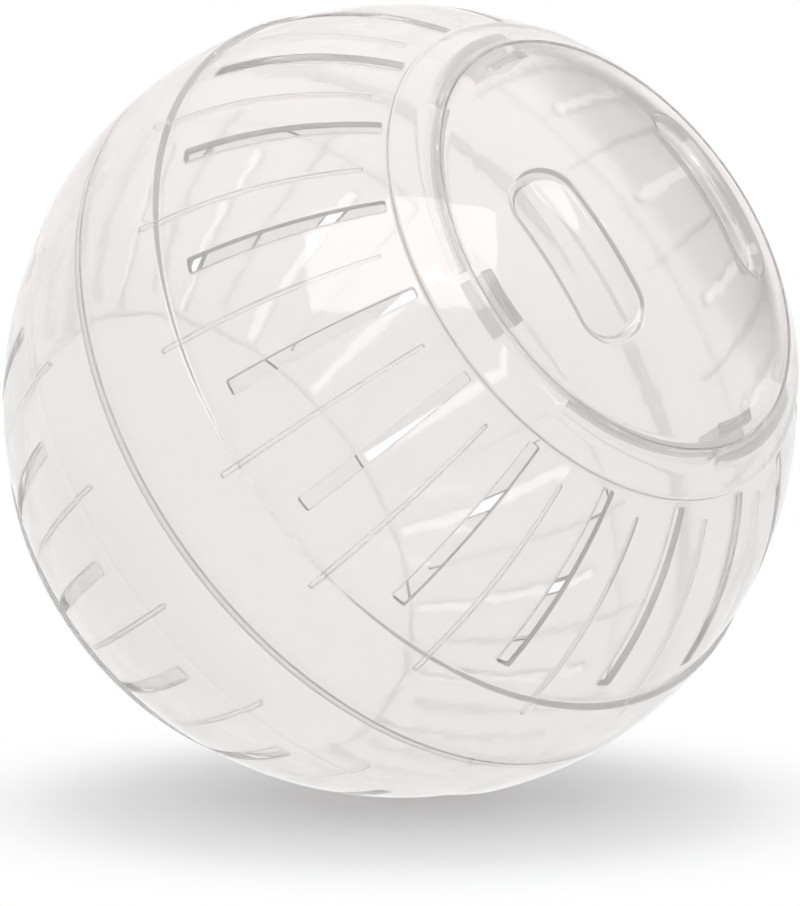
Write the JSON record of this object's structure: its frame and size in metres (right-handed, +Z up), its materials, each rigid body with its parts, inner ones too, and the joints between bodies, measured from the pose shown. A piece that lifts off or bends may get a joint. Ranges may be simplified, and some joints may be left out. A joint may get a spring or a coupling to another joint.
{
  "type": "hamster ball",
  "caption": "Clear exercise ball for a small pet: two vented half shells on a lap joint, with a domed twist lid, two finger grips sunk in it, that lifts off the front half.",
  "frame": {"origin": "the point on the floor under the middle of the bounding box, where the ball rests on its rear vented zone", "axes": "+Z up; the ball's axis lies in the XZ plane, towards the lid it points along +X and rises 31.7 degrees above the floor; +Y completes the right-handed frame"},
  "size_m": [0.1799, 0.18, 0.178],
  "materials": {
    "clear_shell": "clear moulded polystyrene, polished",
    "clear_lid": "clear moulded polystyrene, polished"
  },
  "bodies": {
    "rear_half": {"rear_shell": "clear_shell"},
    "front_half": {"front_shell": "clear_shell"},
    "lid": {"lid": "clear_lid"}
  },
  "joints": [
    {"name": "halves_apart", "type": "slide", "parent": "rear_half", "child": "front_half", "axis": [0.851, 0, 0.5251], "range_m": [0, 0.06]},
    {"name": "lid_lift", "type": "slide", "parent": "front_half", "child": "lid", "axis": [0.851, 0, 0.5251], "range_m": [0, 0.045]}
  ]
}
